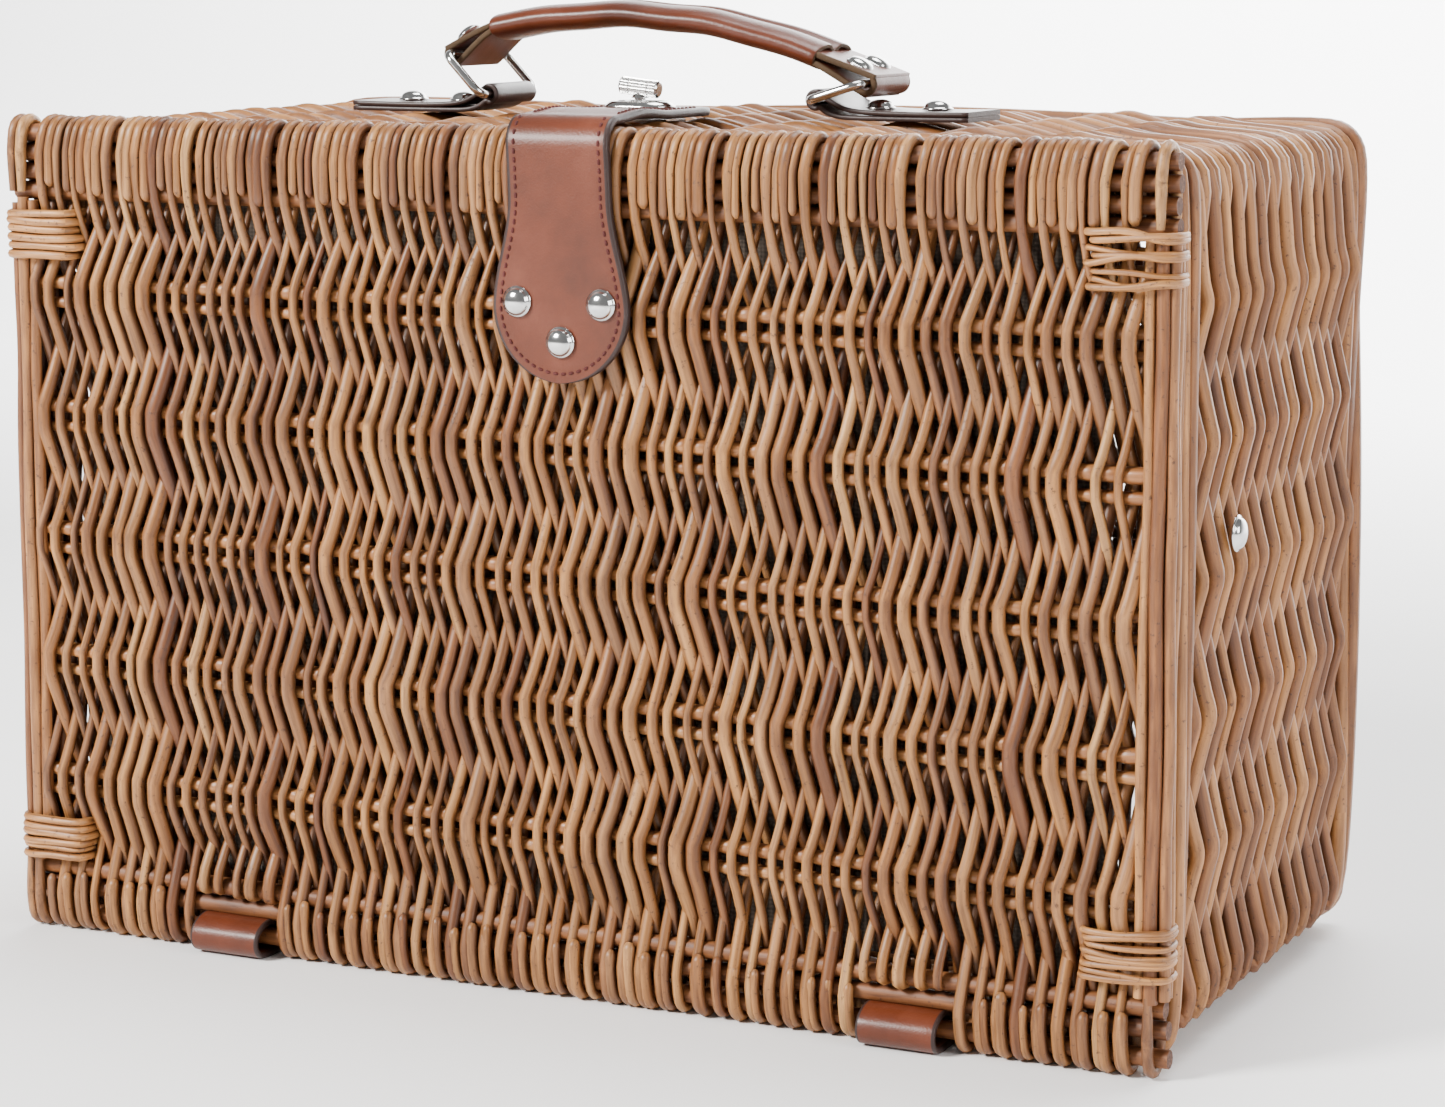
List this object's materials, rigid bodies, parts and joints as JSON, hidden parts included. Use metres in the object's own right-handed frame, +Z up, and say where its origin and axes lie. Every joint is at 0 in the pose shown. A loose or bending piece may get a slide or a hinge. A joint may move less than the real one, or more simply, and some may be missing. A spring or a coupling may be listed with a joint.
{
  "type": "wicker hamper basket",
  "caption": "Woven willow picnic hamper standing on its long wall, with a hinged lid, leather clasp with turn-lock, and a leather carrying handle on wire rings.",
  "frame": {"origin": "middle of the standing face, between the ends and between lid and base", "axes": "+X to the right along the front, +Y from the lid to the base, +Z up"},
  "size_m": [0.42, 0.2057, 0.3175],
  "materials": {
    "willow": "satin",
    "willow_dark": "satin",
    "strap_leather": "glossy",
    "tab_leather": "satin",
    "bright_metal": "polished",
    "lining_cloth": "matte"
  },
  "bodies": {
    "basket": {"wall_weave": "willow", "wall_stakes": "willow_dark", "rim_border": "willow", "base_border": "willow", "base_weave": "willow", "base_rods": "willow_dark", "corner_posts": "willow_dark", "turnlock_base": "bright_metal", "turnlock_backing": "bright_metal", "hinge_straps": "strap_leather", "hinge_rivets": "bright_metal", "handle_tab_left": "tab_leather", "handle_tab_right": "tab_leather", "tab_rivets": "bright_metal", "tab_washers": "bright_metal", "side_studs": "bright_metal", "side_stud_washers": "bright_metal"},
    "lid": {"lid_weave": "willow", "lid_bottom_rail_rods": "willow_dark", "lid_top_rail_rods": "willow_dark", "lid_brace_rods": "willow_dark", "lid_side_sticks": "willow_dark", "lid_corner_bindings": "willow", "lid_lining": "lining_cloth", "clasp_strap": "strap_leather", "clasp_rivets": "bright_metal", "clasp_washers": "bright_metal"},
    "clasp": {"clasp_tail": "strap_leather", "clasp_eyelet": "bright_metal"},
    "knob": {"turnlock_knob": "bright_metal"},
    "left_ring": {"ring_left": "bright_metal"},
    "right_ring": {"ring_right": "bright_metal"},
    "left_grip": {"handle_strap_left": "strap_leather", "handle_rivets_left": "bright_metal", "handle_sleeve": "strap_leather"},
    "right_grip": {"handle_strap_right": "strap_leather", "handle_rivets_right": "bright_metal"}
  },
  "joints": [
    {"name": "lid_hinge", "type": "hinge", "parent": "basket", "child": "lid", "pos_m": [0, -0.0935, 0.0065], "axis": [1, 0, 0], "range_deg": [0, 88]},
    {"name": "clasp_lift", "type": "hinge", "parent": "lid", "child": "clasp", "pos_m": [0.002, -0.0935, 0.2818], "axis": [1, 0, 0], "range_deg": [0, 17.5]},
    {"name": "knob_turn", "type": "hinge", "parent": "basket", "child": "knob", "pos_m": [0.002, -0.039, 0.29], "axis": [0, 0, 1], "range_deg": [0, 90]},
    {"name": "handle_lift", "type": "hinge", "parent": "basket", "child": "left_ring", "pos_m": [-0.06, -0.016, 0.2865], "axis": [0, 1, 0], "range_deg": [0, 16]},
    {"name": "grip_pivot", "type": "hinge", "parent": "left_ring", "child": "left_grip", "pos_m": [-0.07278, -0.016, 0.29974], "axis": [0, 1, 0], "range_deg": [-35, 0]},
    {"name": "grip_flex", "type": "hinge", "parent": "left_grip", "child": "right_grip", "pos_m": [0.00174, -0.016, 0.31006], "axis": [0, 1, 0], "range_deg": [0, 31], "deforming": ["handle_sleeve"]},
    {"name": "right_ring_pivot", "type": "hinge", "parent": "basket", "child": "right_ring", "pos_m": [0.06, -0.016, 0.2865], "axis": [0, 1, 0], "range_deg": [-40.5, 0]}
  ],
  "couplings": [
    {"joint": "grip_pivot", "follows": "handle_lift", "ratio": -2.1061},
    {"joint": "grip_flex", "follows": "handle_lift", "ratio": 1.8292},
    {"joint": "right_ring_pivot", "follows": "handle_lift", "ratio": -2.5}
  ]
}
